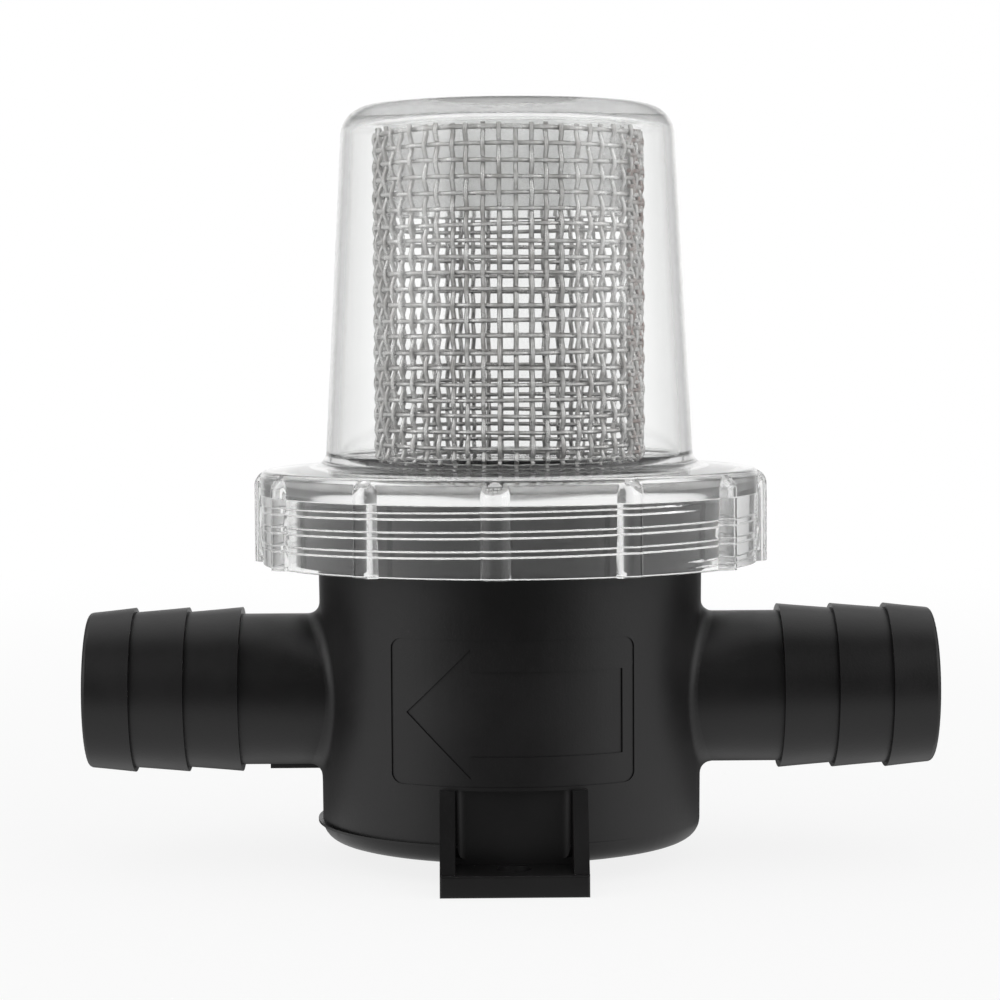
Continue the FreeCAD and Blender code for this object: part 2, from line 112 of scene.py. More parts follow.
class StrainerBowl(bpy.types.PropertyGroup):
    """Sizes of the clear bowl."""

    cup_top: length("Cup radius, top", "Outside radius under the rounded top edge", 27.5)
    cup_low: length("Cup radius, bottom", "Outside radius above the shoulder", 30.25)
    top_round: length("Top rounding", "Radius of the top edge", 5.0)
    wall: length("Wall", "Thickness of the cup's wall", 1.8)
    lid: length("Lid", "Thickness of the flat top", 3.1)
    inner_round: length("Inner rounding", "Radius inside the top edge", 1.5)
    shoulder_rise: length("Shoulder rise", "Height of the shoulder over the collar's edge", 0.8)
    shoulder_z: length("Shoulder height", "Height of the collar's top edge over the feet", 64.6)
    under_z: length("Shoulder underside", "Height of the shoulder's underside over the feet", 60.4)
    seat: length("Sloping seat", "Height of the slope inside the shoulder", 4.2)
    fillet: length("Shoulder fillet", "Radius between cup and shoulder", 2.4)
    collar_top: length("Collar radius, top", "Outside radius of the collar at its top", 41.1)
    collar_low: length("Collar radius, bottom", "Outside radius of the collar at its bottom", 40.8)
    collar_round: length("Collar rounding", "Radius of the collar's top edge", 1.2)
    rib_radius: length("Rib radius", "Radius of each half-round grip rib", 2.44)
    rib_centre: length("Rib centre", "Distance of each rib's axis from the screw axis", 40.05)
    rib_top: length("Rib top", "Height of each rib's domed top over the feet", 64.35)
    rib_count: IntProperty(name="Ribs", description="Number of grip ribs", default=12, min=3)
    rib_turn: FloatProperty(name="Rib turn", description="Angle of the front rib from the front",
                            default=math.radians(-3.8), subtype="ANGLE", unit="ROTATION")
    bore: length("Thread root", "Radius of the collar's bore", 37.2)
    crest: length("Thread crest", "Radius at the crest of the inside thread", 36.6)
    lead: length("Bore lead", "Chamfer at the mouth of the bore", 0.1)
    pitch: length("Pitch", "Rise of the thread in one turn", 3.0)
    thread_z: length("Thread start", "Height where the thread's middle starts", 50.32)
    thread_width: length("Crest width", "Width of the thread's crest", 0.65)
    thread_foot: length("Foot width", "Width of the thread's foot", 1.3)
    thread_turns: FloatProperty(name="Turns", description="Turns of the inside thread", default=3.05)
    thread_start: FloatProperty(name="Start angle", description="Angle where the thread starts",
                                default=math.radians(-52), subtype="ANGLE", unit="ROTATION")
    skirt_radius: length("Skirt radius", "Outside radius of the inner skirt", 20.4)
    skirt_wall: length("Skirt wall", "Thickness of the inner skirt", 1.6)
    skirt_z: length("Skirt bottom", "Height of the skirt's lower edge over the feet", 106.3)
    skirt_round: length("Skirt rounding", "Radius of the skirt's lower edge", 0.5)


class StrainerScreen(bpy.types.PropertyGroup):
    """Sizes of the woven wire screen."""

    mid_radius: length("Weave radius", "Radius of the weave's middle", 21.65)
    wire: length("Wire", "Diameter of each wire", 0.78)
    crimp: length("Crimp", "How far each wire weaves in and out", 0.31)
    upright_count: IntProperty(name="Uprights", description="Upright wires", default=54, min=4)
    level_count: IntProperty(name="Level wires", description="Level wires", default=23, min=2)
    level_pitch: length("Level pitch", "Spacing of the level wires", 2.532)
    first_level: length("Top wire", "Height of the highest level wire over the feet", 119.2)
    seam_from: FloatProperty(name="Seam start", description="Angle from +X where the overlap starts",
                             default=math.radians(-29), subtype="ANGLE", unit="ROTATION")
    seam_to: FloatProperty(name="Seam end", description="Angle from +X where the overlap ends",
                           default=math.radians(6), subtype="ANGLE", unit="ROTATION")


class StrainerColours(bpy.types.PropertyGroup):
    """Colours of the four materials and the floor."""

    black: colour("Housing", "Black moulded plastic", (0.0062, 0.0058, 0.0061))
    black_worn: colour("Housing, dull", "Black plastic where it is dull", (0.0110, 0.0102, 0.0107))
    clear: colour("Bowl", "Clear plastic", (0.985, 0.988, 0.985))
    steel: colour("Wire", "Stainless steel wire", (0.60, 0.60, 0.595))
    steel_dull: colour("Wire, dull", "Stainless steel wire where it is dull", (0.40, 0.395, 0.385))
    heat: colour("Heat tint", "Wire near the welded seam", (0.22, 0.15, 0.13))
    rubber: colour("Seal", "Black rubber", (0.02, 0.02, 0.02))
    floor: colour("Floor", "Pale floor", (0.9, 0.9, 0.9))


class StrainerStage(bpy.types.PropertyGroup):
    """Where the camera stands."""

    distance: length("Distance", "Camera to screw axis, measured level", 496.5)
    height: length("Height", "Camera over the feet", 87.43)
    turn: FloatProperty(name="Turn", description="Camera round the object, towards -X",
                        default=math.radians(0.732), subtype="ANGLE", unit="ROTATION")
    aim: FloatProperty(name="Aim", description="How far it looks to the left of the axis",
                       default=math.radians(0.1814), subtype="ANGLE", unit="ROTATION")
    pitch: FloatProperty(name="Pitch", description="How far it looks down",
                         default=math.radians(3.25), subtype="ANGLE", unit="ROTATION")
    roll: FloatProperty(name="Roll", description="How far the picture leans to the left",
                        default=math.radians(0.354), subtype="ANGLE", unit="ROTATION")
    lens: FloatProperty(name="Lens", description="Focal length in millimetres", default=108.0)


# ---- meshes from arrays -------------------------------------------------------------

def grid_faces(rows, columns, round_trip=False):
    """Corner numbers of the quads of a grid; round_trip joins its last column to its first."""
    last = columns if round_trip else columns - 1
    row, column = np.meshgrid(np.arange(rows - 1), np.arange(last), indexing="ij")
    after = (column + 1) % columns
    corners = (row * columns + column, row * columns + after,
               (row + 1) * columns + after, (row + 1) * columns + column)
    return np.stack(corners, axis=-1).reshape(-1, 4)


def new_mesh(name, points, faces, weld=None, sharp=math.radians(32)):
    """Mesh object from arrays of points and quads.

    Points nearer than weld are merged, and edges that turn more than sharp stay sharp.
    """
    mesh = bpy.data.meshes.new(name)
    mesh.vertices.add(len(points))
    mesh.vertices.foreach_set("co", np.ascontiguousarray(points, dtype=np.float32).ravel())
    mesh.loops.add(faces.size)
    mesh.loops.foreach_set("vertex_index", faces.astype(np.int32).ravel())
    mesh.polygons.add(len(faces))
    mesh.polygons.foreach_set("loop_start", np.arange(0, faces.size, 4, dtype=np.int32))
    mesh.update(calc_edges=True)
    if weld:
        shell = bmesh.new()
        shell.from_mesh(mesh)
        bmesh.ops.remove_doubles(shell, verts=shell.verts, dist=weld)
        bmesh.ops.dissolve_degenerate(shell, edges=shell.edges, dist=weld)
        bmesh.ops.recalc_face_normals(shell, faces=shell.faces)
        shell.to_mesh(mesh)
        shell.free()
    mesh.shade_smooth()
    mesh.set_sharp_from_angle(angle=sharp)
    mesh.validate()
    piece = bpy.data.objects.new(name, mesh)
    bpy.context.scene.collection.objects.link(piece)
    return piece


def run(start, end, steps):
    """Points on a straight run from start to end, without its end."""
    share = np.linspace(0.0, 1.0, steps, endpoint=False)[:, None]
    return np.asarray(start) * (1 - share) + np.asarray(end) * share


def bend(centre, radius, start, end, steps):
    """Points on an arc about centre from angle start to angle end, without its end."""
    angle = np.linspace(start, end, steps, endpoint=False)
    return np.stack([centre[0] + radius * np.cos(angle), centre[1] + radius * np.sin(angle)], axis=1)


def about_axis(radius, angle, height):
    """Points x = radius cos(angle), y = radius sin(angle), z = height, from arrays that fit each other."""
    radius, angle, height = np.broadcast_arrays(radius, angle, height)
    return np.stack([radius * np.cos(angle), radius * np.sin(angle), height], axis=-1)


def tubes(centres, radius, closed):
    """Round tubes along many centre lines at once.

    centres is wires x points x 3. At each point the tube's circle stands square to the line's
    direction, and starts from the side that faces away from the upright axis. An open tube's
    ends are drawn in to a point, so that it is closed.
    """
    if closed:
        ahead = np.roll(centres, -1, axis=1) - np.roll(centres, 1, axis=1)
    else:
        ahead = np.gradient(centres, axis=1)
    ahead /= np.linalg.norm(ahead, axis=2, keepdims=True)
    outward = centres * np.array([1.0, 1.0, 0.0])
    outward -= ahead * np.sum(outward * ahead, axis=2, keepdims=True)
    outward /= np.linalg.norm(outward, axis=2, keepdims=True)
    across = np.cross(ahead, outward)
    angle = np.arange(WIRE_SIDES) / WIRE_SIDES * FULL_TURN
    size = np.full(centres.shape[1], radius)
    if not closed:
        centres = np.concatenate([centres[:, :1], centres, centres[:, -1:]], axis=1)
        outward = np.concatenate([outward[:, :1], outward, outward[:, -1:]], axis=1)
        across = np.concatenate([across[:, :1], across, across[:, -1:]], axis=1)
        size = np.concatenate([[0.0], size, [0.0]])
    circle = np.cos(angle)[:, None] * outward[:, :, None] + np.sin(angle)[:, None] * across[:, :, None]
    points = centres[:, :, None] + circle * size[None, :, None, None]
    wires, count = points.shape[:2]
    size_of_one = count * WIRE_SIDES
    one = grid_faces(count + 1 if closed else count, WIRE_SIDES, round_trip=True) % size_of_one
    faces = one[None] + (np.arange(wires) * size_of_one)[:, None, None]
    return points.reshape(-1, 3), faces.reshape(-1, 4)


# ---- the clear bowl -----------------------------------------------------------------

def rib_columns(sizes):
    """Angles of the bowl's columns: close together over each rib, wider between ribs."""
    half = math.acos((sizes.rib_centre ** 2 + sizes.collar_low ** 2 - sizes.rib_radius ** 2)
                     / (2 * sizes.rib_centre * sizes.collar_low))
    over = -half * np.cos(np.linspace(0, math.pi, RIB_STEPS, endpoint=False))
    step = FULL_TURN / sizes.rib_count
    between = np.linspace(half, step - half, GAP_STEPS, endpoint=False)
    period = np.concatenate([over, between])
    starts = np.arange(sizes.rib_count) * step + sizes.rib_turn - QUARTER
    return (starts[:, None] + period[None]).ravel()


def outer_section(sizes):
    """Outside of the bowl in (radius, height), from the middle of the top down to the collar's foot."""
    top = BOWL_HIGH[2]
    corner = (sizes.cup_top - sizes.top_round, top - sizes.top_round)
    slope = sizes.shoulder_rise / (sizes.collar_top - sizes.cup_low)
    foot_r = sizes.cup_low + sizes.fillet
    foot_z = sizes.shoulder_z + sizes.shoulder_rise - slope * sizes.fillet
    edge = (sizes.collar_top - sizes.collar_round, sizes.shoulder_z - sizes.collar_round)
    return np.concatenate([
        run((0.0, top), (corner[0], top), 10),
        bend(corner, sizes.top_round, QUARTER, 0.0, 18),
        run((sizes.cup_top, corner[1]), (sizes.cup_low, foot_z + sizes.fillet), 12),
        bend((foot_r, foot_z + sizes.fillet), sizes.fillet, math.pi, 3 * QUARTER, 12),
        run((foot_r, foot_z), (edge[0], sizes.shoulder_z), 5),
        bend(edge, sizes.collar_round, QUARTER, 0.0, 10),
        run((sizes.collar_top, edge[1]), (sizes.collar_low, BOWL_LOW[2]), 26),
        [(sizes.collar_low, BOWL_LOW[2])],
    ])


def over_ribs(radius, height, angle, sizes):
    """Radius of the collar's outside with its ribs.

    A rib is an upright cylinder under a half sphere. At a height its plan is a circle about the
    rib's axis, and the collar shows whichever reaches farther out: its own wall or that circle.
    """
    step = FULL_TURN / sizes.rib_count
    off = (angle - sizes.rib_turn + QUARTER + step / 2) % step - step / 2
    dome = np.maximum(height - (sizes.rib_top - sizes.rib_radius), 0.0)
    plan = np.sqrt(np.maximum(sizes.rib_radius ** 2 - dome ** 2, 0.0))
    inside = plan ** 2 - (sizes.rib_centre * np.sin(off)) ** 2
    reach = sizes.rib_centre * np.cos(off) + np.sqrt(np.maximum(inside, 0.0))
    on_rib = (inside > 0.0) & (height < sizes.rib_top) & (radius > sizes.rib_centre)
    return np.where(on_rib, np.maximum(radius, reach), radius)


def inner_section(sizes):
    """Inside of the bowl above its thread, from the shoulder's underside to the middle of the lid."""
    lid = BOWL_HIGH[2] - sizes.lid
    top_r = sizes.cup_top - sizes.wall
    low_r = sizes.cup_low - sizes.wall
    corner = (top_r - sizes.inner_round, lid - sizes.inner_round)
    skirt_in = sizes.skirt_radius - sizes.skirt_wall
    low = sizes.skirt_z + sizes.skirt_round
    return np.concatenate([
        run((sizes.bore, sizes.under_z), (low_r + sizes.seat, sizes.under_z), 4),
        run((low_r + sizes.seat, sizes.under_z), (low_r, sizes.under_z + sizes.seat), 6),
        run((low_r, sizes.under_z + sizes.seat), (top_r, corner[1]), 14),
        bend(corner, sizes.inner_round, 0.0, QUARTER, 10),
        run((corner[0], lid), (sizes.skirt_radius, lid), 2),
        run((sizes.skirt_radius, lid), (sizes.skirt_radius, low), 12),
        bend((sizes.skirt_radius - sizes.skirt_round, low), sizes.skirt_round, 0.0, -QUARTER, 6),
        bend((skirt_in + sizes.skirt_round, low), sizes.skirt_round, -QUARTER, -math.pi, 6),
        run((skirt_in, low), (skirt_in, lid), 12),
        run((skirt_in, lid), (0.0, lid), 8),
        [(0.0, lid)],
    ])


def thread_zone(angle, sizes):
    """Inside of the collar with its thread, as points on a slanted grid.

    A row climbs one pitch in a turn, so it stays on one line of the thread. Its height is held
    between the mouth and the shoulder, where the rows end on level circles. The radius is the
    bore's less the tooth: full between the crest's edges, falling evenly to nothing at the
    foot's edges, and fading in and out over the first and last twelfth of a turn.
    """
    half_crest = sizes.thread_width / 2
    half_foot = sizes.thread_foot / 2
    flank = np.linspace(half_crest, half_foot, 4)
    valley = np.linspace(half_foot, sizes.pitch - half_foot, 5)[1:-1]
    one = np.concatenate([np.linspace(-half_crest, half_crest, 4)[:-1], flank, valley,
                          sizes.pitch - flank[::-1][:-1]])
    low = BOWL_LOW[2] + sizes.lead
    turns = math.ceil((sizes.under_z - low) / sizes.pitch) + 3
    first = math.floor((low - sizes.thread_z) / sizes.pitch) - 1
    rows = (one[None] + (first + np.arange(turns))[:, None] * sizes.pitch).ravel()
    around = np.append(angle, angle[0] + FULL_TURN)
    spin = (around - sizes.thread_start) / FULL_TURN
    height = sizes.thread_z + rows[:, None] + spin[None] * sizes.pitch
    whole = np.round(rows / sizes.pitch)[:, None]
    off = np.abs(rows[:, None] - whole * sizes.pitch)
    travelled = spin[None] + whole
    start = np.clip(travelled / THREAD_FADE, 0, 1)
    end = np.clip((sizes.thread_turns - travelled) / THREAD_FADE, 0, 1)
    taper = start * start * (3 - 2 * start) * end * end * (3 - 2 * end)
    tooth = np.clip((half_foot - off) / (half_foot - half_crest), 0, 1) * taper
    radius = sizes.bore - (sizes.bore - sizes.crest) * tooth
    height = np.clip(height, low, sizes.under_z)
    points = about_axis(radius, around, height)
    return points.reshape(-1, 3), grid_faces(len(rows), len(around))


def spun(section, angle, shape=None):
    """Points and quads of a section turned about the upright axis; shape may change the radius."""
    radius = np.repeat(section[:, :1], len(angle), axis=1)
    height = np.repeat(section[:, 1:], len(angle), axis=1)
    around = np.repeat(angle[None], len(section), axis=0)
    if shape:
        radius = shape(radius, height, around)
    points = about_axis(radius, around, height)
    return points.reshape(-1, 3), grid_faces(len(section), len(angle), round_trip=True)


def joined(*parts):
    """Several (points, quads) pairs as one."""
    starts = np.cumsum([0] + [len(points) for points, _ in parts[:-1]])
    points = np.concatenate([points for points, _ in parts])
    faces = np.concatenate([quads + start for (_, quads), start in zip(parts, starts)])
    return points, faces


def clear_bowl(sizes):
    """The whole bowl as one closed skin: outside with ribs, mouth, thread, and inside with its skirt."""
    angle = rib_columns(sizes)
    low = BOWL_LOW[2]
    mouth = np.concatenate([
        run((sizes.collar_low, low), (sizes.bore + sizes.lead, low), 5),
        run((sizes.bore + sizes.lead, low), (sizes.bore, low + sizes.lead), 2),
        [(sizes.bore, low + sizes.lead)],
    ])

    def ribbed(radius, height, around):
        return over_ribs(radius, height, around, sizes)

    def ribbed_mouth(radius, height, around):
        flat = sizes.collar_low - sizes.bore - sizes.lead
        share = np.clip((radius - sizes.bore - sizes.lead) / flat, 0, 1)
        edge = over_ribs(np.full_like(radius, sizes.collar_low), height, around, sizes)
        return radius + (edge - sizes.collar_low) * share

    points, faces = joined(
        spun(outer_section(sizes), angle, ribbed),
        spun(mouth, angle, ribbed_mouth),
        thread_zone(angle, sizes),
        spun(inner_section(sizes), angle),
    )
    return new_mesh("clear_bowl", points, faces, weld=BOWL_WELD)


# ---- the woven screen ---------------------------------------------------------------

def wire_mesh(name, points, faces):
    """Mesh object of round wires, with only the rims of their ends sharp."""
    return new_mesh(name, points, faces, weld=WIRE_WELD, sharp=WIRE_SHARP)


def weave_angles(sizes):
    """Angles of the upright wires from +X, each out of its even place by up to a twentieth of a gap."""
    chance = np.random.default_rng(11)
    step = FULL_TURN / sizes.upright_count
    count = np.arange(sizes.upright_count)
    return WEAVE_TURN + (count + chance.uniform(-0.05, 0.05, len(count))) * step


def upright_wires(sizes):
    """Upright wires: straight down the cylinder, in and out by a cosine of the height.

    One swing takes two level wires. Each wire leans by up to half a degree round the axis, and
    its top end stops short by up to one wire's diameter.
    """
    chance = np.random.default_rng(5)
    top = SCREEN_HIGH[2] - sizes.wire / 4
    low = SCREEN_LOW[2] + sizes.wire / 4
    height = np.linspace(low, top, UPRIGHT_STEPS)[None]
    index = np.arange(sizes.upright_count)[:, None]
    swing = math.pi * (sizes.first_level - height) / sizes.level_pitch
    radius = sizes.mid_radius + sizes.crimp * np.cos(swing) * (-1.0) ** index
    lean = chance.uniform(-1, 1, (len(index), 1)) * math.radians(0.5)
    angle = weave_angles(sizes)[:, None] + lean * (height - low) / (top - low)
    ends = chance.uniform(0, 1, (len(index), 1)) * sizes.wire
    height = height - ends * ((height - low) / (top - low)) ** 8
    centres = about_axis(radius, angle, height)
    return wire_mesh("upright_wires", *tubes(centres, sizes.wire / 2, closed=False))


def level_wires(sizes):
    """Level wires: circles, in and out by a cosine that is opposite to the upright wires' at each crossing.

    Each circle also rises and falls by three slow sines of its own.
    """
    chance = np.random.default_rng(8)
    around = np.linspace(0, FULL_TURN, sizes.upright_count * LEVEL_STEPS, endpoint=False)[None]
    index = np.arange(sizes.level_count)[:, None]
    swing = around * sizes.upright_count / 2
    radius = sizes.mid_radius - sizes.crimp * np.cos(swing) * (-1.0) ** index
    drift = chance.uniform(-0.06, 0.06, (len(index), 3)) * sizes.level_pitch
    wander = (drift[:, :1] * np.sin(around) + drift[:, 1:2] * np.cos(2 * around)
              + drift[:, 2:] * np.sin(3 * around))
    height = sizes.first_level - index * sizes.level_pitch + wander
    centres = about_axis(radius, around + WEAVE_TURN, height)
    return wire_mesh("level_wires", *tubes(centres, sizes.wire / 2, closed=True))


def seam_wires(sizes):
    """The overlap of the rolled weave: a second layer set half a gap round and half a gap down."""
    step = FULL_TURN / sizes.upright_count
    count = int((sizes.seam_to - sizes.seam_from) / step)
    top = SCREEN_HIGH[2] - sizes.wire
    low = SCREEN_LOW[2] + sizes.wire
    height = np.linspace(low, top, UPRIGHT_STEPS)[None]
    index = np.arange(count)[:, None]
    swing = math.pi * (sizes.first_level - height) / sizes.level_pitch + QUARTER
    out = sizes.mid_radius + 0.2 * sizes.wire
    radius = out + sizes.crimp * np.cos(swing) * (-1.0) ** index
    uprights = about_axis(radius, sizes.seam_from + (index + 0.5) * step, height)
    share = np.linspace(0, 1, count * SEAM_STEPS)[None]
    row = np.arange(sizes.level_count - 1)[:, None]
    turn = sizes.seam_from + share * (sizes.seam_to - sizes.seam_from)
    swing = math.pi * (turn - sizes.seam_from) / step - QUARTER
    radius = out - sizes.crimp * np.cos(swing) * (-1.0) ** row
    levels = about_axis(radius, turn, sizes.first_level - (row + 0.5) * sizes.level_pitch)
    return wire_mesh("seam_wires", *joined(tubes(uprights, sizes.wire / 2, closed=False),
                                           tubes(levels, sizes.wire / 2, closed=False)))


# ---- shader nodes -------------------------------------------------------------------

class Value:
    """A number that varies over a surface: the output socket of a node, usable in Python sums."""

    def __init__(self, recipe, socket):
        self.recipe = recipe
        self.socket = socket

    def sum(self, operation, first, second=0.0):
        """A Math node on one or two numbers."""
        return self.recipe.node("ShaderNodeMath", {"operation": operation}, {0: first, 1: second})

    def __add__(self, other):
        return self.sum("ADD", self, other)

    def __radd__(self, other):
        return self.sum("ADD", other, self)

    def __sub__(self, other):
        return self.sum("SUBTRACT", self, other)

    def __rsub__(self, other):
        return self.sum("SUBTRACT", other, self)

    def __mul__(self, other):
        return self.sum("MULTIPLY", self, other)

    def __rmul__(self, other):
        return self.sum("MULTIPLY", other, self)

    def __truediv__(self, other):
        return self.sum("DIVIDE", self, other)

    def __rtruediv__(self, other):
        return self.sum("DIVIDE", other, self)

    def above(self, limit):
        """1 where the number is over the limit and 0 elsewhere."""
        return self.sum("GREATER_THAN", self, limit)

    def root(self):
        """The square root."""
        return self.sum("SQRT", self)

    def ramp(self, low, high):
        """0 below low and 1 above high, smooth between."""
        return self.recipe.node("ShaderNodeMapRange", {"interpolation_type": "SMOOTHSTEP"},
                                {"Value": self, "From Min": low, "From Max": high})


class Recipe:
    """Builds the nodes of one material or of the world."""

    def __init__(self, owner):
        owner.use_nodes = True
        self.tree = owner.node_tree
        self.tree.nodes.clear()

    def node(self, kind, settings=None, values=None, output=0):
        """A node of that kind: its settings first, then each socket's value or link; gives one output."""
        made = self.tree.nodes.new(kind)
        for key, value in (settings or {}).items():
            setattr(made, key, value)
        for key, value in (values or {}).items():
            socket = made.inputs[key]
            if isinstance(value, Value):
                self.tree.links.new(value.socket, socket)
            elif socket.type == "RGBA" and len(value) == 3:
                socket.default_value = (*value, 1.0)
            else:
                socket.default_value = value
        return Value(self, made.outputs[output]) if len(made.outputs) else None

    def place(self, stretch=(1.0, 1.0, 1.0)):
        """Object coordinates, stretched along the axes."""
        spot = self.node("ShaderNodeTexCoord", output="Object")
        return self.node("ShaderNodeVectorMath", {"operation": "MULTIPLY"}, {0: spot, 1: stretch})

    def axes(self, spot):
        """The three numbers of a place or direction."""
        return [self.node("ShaderNodeSeparateXYZ", None, {"Vector": spot}, output=name)
                for name in "XYZ"]

    def ray(self, name):
        """What the Light Path node says of the ray that looks: 1 or 0 for its kind, or a count."""
        return self.node("ShaderNodeLightPath", output=name)

    def looking_rays(self):
        """Three masks: the camera's rays, rays off gloss, and rays through clear plastic."""
        clear = self.ray("Is Transmission Ray")
        return self.ray("Is Camera Ray"), self.ray("Is Glossy Ray") * (1 - clear), clear

    def noise(self, spot, scale, detail=2.0, rough=0.5):
        """Cloudy noise from 0 to 1, with scale swings in a metre."""
        return self.node("ShaderNodeTexNoise", None,
                         {"Vector": spot, "Scale": scale, "Detail": detail, "Roughness": rough})

    def mix(self, share, first, second):
        """First colour turning into the second as share goes from 0 to 1."""
        return self.node("ShaderNodeMix", {"data_type": "RGBA"}, {0: share, 6: first, 7: second},
                         output=2)

    def bump(self, height, strength, depth):
        """Surface normal pushed in and out by a height."""
        return self.node("ShaderNodeBump", None,
                         {"Strength": strength, "Distance": depth, "Height": height})

    def finish(self, kind="ShaderNodeBsdfPrincipled", values=None):
        """The shader and its output node."""
        shader = self.node(kind, None, values)
        self.node("ShaderNodeOutputMaterial", None, {"Surface": shader})


def named_material(name):
    """A new material and the recipe that fills it."""
    material = bpy.data.materials.new(name)
    return material, Recipe(material)


def moulded_black(colours):
    """Satin black plastic: cloudy sheen, faint upright draw marks and a fine moulded grain."""
    material, recipe = named_material("moulded_black")
    spot = recipe.place()
    cloud = recipe.noise(spot, 55.0, 4.0, 0.6)
    draw = recipe.noise(recipe.place((900.0, 900.0, 30.0)), 1.0, 2.0)
    grain = recipe.noise(spot, 2600.0, 2.0)
    scuff = recipe.noise(recipe.place((260.0, 260.0, 1900.0)), 1.0, 3.0, 0.7).ramp(0.62, 0.78)
    dull = cloud.ramp(0.35, 0.7) * 0.6 + scuff * 0.25 + draw * 0.15
    recipe.finish(values={
        "Base Color": recipe.mix(dull, colours.black, colours.black_worn),
        "Roughness": 0.34 + dull * 0.14,
        "Specular IOR Level": 0.5,
        "Normal": recipe.bump(grain * 0.7 + draw * 0.5 + cloud * 1.5, 0.35, 0.00006),
    })
    return material


def clear_plastic(colours, sizes):
    """Polished clear plastic, frosted on the inner skirt, with faint scratches on the lid.

    Light that has been turned back inside it twice leaves softly, so the thick collar stays light.
    """
    material, recipe = named_material("clear_plastic")
    spot = recipe.place()
    x, y, z = recipe.axes(spot)
    radius = (x * x + y * y).root()
    roof = BOWL_HIGH[2]
    lid = roof - sizes.lid
    seat_top = sizes.under_z + sizes.seat
    near_skirt = 1 - radius.ramp(sizes.skirt_radius + 0.2 * MM, sizes.skirt_radius + 0.5 * MM)
    above_skirt = z.ramp(sizes.skirt_z - 1 * MM, sizes.skirt_z - 0.5 * MM)
    frosted = near_skirt * above_skirt * (1 - z.ramp(lid - 0.4 * MM, lid - 0.2 * MM))
    scratch = recipe.noise(recipe.place((90.0, 1500.0, 90.0)), 1.0, 4.0, 0.7).ramp(0.55, 0.75)
    on_lid = z.ramp(roof - 0.3 * MM, roof - 0.1 * MM)
    top = z.ramp(roof - sizes.top_round, roof - 2 * MM)
    in_collar = 1 - radius.ramp(sizes.bore, sizes.bore + 0.2 * MM)
    in_collar = in_collar * (1 - z.ramp(seat_top, seat_top + 1 * MM))
    ripple = recipe.noise(spot, 120.0, 2.0)
    grain = recipe.noise(spot, 1500.0, 3.0)
    guided = recipe.ray("Glossy Depth").above(1.5)
    recipe.finish(values={
        "Base Color": colours.clear,
        "Roughness": (0.015 + frosted * 0.24 + scratch * on_lid * 0.3 + top * 0.1
                      + in_collar * 0.06 + guided * 0.9),
        "IOR": 1.57,
        "Transmission Weight": 1.0,
        "Normal": recipe.bump(ripple + frosted * grain * 4.0 + scratch * on_lid * 2.0,
                              0.15, 0.00005),
    })
    return material


def drawn_steel(colours, name, tint_share):
    """Bright drawn wire, dull in patches, with blotches of heat tint as strong as tint_share."""
    material, recipe = named_material(name)
    spot = recipe.place()
    patch = recipe.noise(spot, 420.0, 3.0, 0.65).ramp(0.38, 0.68)
    burn = recipe.noise(recipe.place((300.0, 300.0, 130.0)), 1.0, 3.0, 0.7).ramp(0.4, 0.65)
    steel = recipe.mix(patch, colours.steel, colours.steel_dull)
    recipe.finish(values={
        "Base Color": recipe.mix(burn * tint_share + 0.15 * tint_share, steel, colours.heat),
        "Metallic": 1.0,
        "Roughness": 0.26 + patch * 0.2,
        "Normal": recipe.bump(recipe.noise(spot, 3500.0, 2.0), 0.2, 0.00003),
    })
    return material


def seal_rubber(colours):
    """Matt black rubber with a little bloom."""
    material, recipe = named_material("seal_rubber")
    bloom = recipe.noise(recipe.place(), 300.0, 3.0)
    recipe.finish(values={
        "Base Color": recipe.mix(bloom * 0.4, colours.rubber, (0.06, 0.06, 0.06)),
        "Roughness": 0.6 + bloom * 0.2,
        "Normal": recipe.bump(bloom, 0.2, 0.0001),
    })
    return material


def white_where_seen(recipe, room, otherwise):
    """Brightness by kind of ray.

    It is white for the camera, the room in gloss, and a lighter room through clear plastic.
    Every other ray brings the light given as otherwise.
    """
    seen, gloss, clear = recipe.looking_rays()
    light = (1 - seen) * (1 - gloss) * (1 - clear)
    return seen + gloss * room + clear * (room * 0.12 + 0.88) + light * otherwise


def room_around(back):
    """How bright the room is near the level, by how far a direction points to the back, from -1 to 1.

    It is dim in front, bright at the two front sides, dim again at the two back sides, and white
    straight behind.
    """
    sides = back.ramp(-0.95, -0.5) * (1 - back.ramp(0.0, 0.45))
    return 0.07 + sides * 0.78 + back.ramp(0.84, 0.97) * 0.93


def room_level(back, up):
    """How bright the room is in any direction: dim high above the front, bright high above the back."""
    high = up.ramp(0.3, 0.75)
    return room_around(back) * (1 - high) + high * (0.08 + back.ramp(-0.35, 0.15) * 0.75)


def wear(piece, material):
    """Puts one material on every slot of a piece."""
    if not piece.data.materials:
        piece.data.materials.append(material)
    for place in piece.material_slots:
        place.material = material


# ---- operators ----------------------------------------------------------------------

class BuildHousing(bpy.types.Operator):
    """Finish the black housing"""

    bl_idname = "strainer.housing"
    bl_label = "Housing"

    def execute(self, context):
        wear(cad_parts["housing"], moulded_black(context.scene.strainer_colours))
        return {"FINISHED"}


class BuildBowl(bpy.types.Operator):
    """Make the clear bowl with its ribs, thread and frosted skirt"""

    bl_idname = "strainer.bowl"
    bl_label = "Bowl"

    def execute(self, context):
        sizes = context.scene.strainer_bowl
        piece = clear_bowl(sizes)
        wear(piece, clear_plastic(context.scene.strainer_colours, sizes))
        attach(piece, "cover")
        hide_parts("bowl")
        return {"FINISHED"}


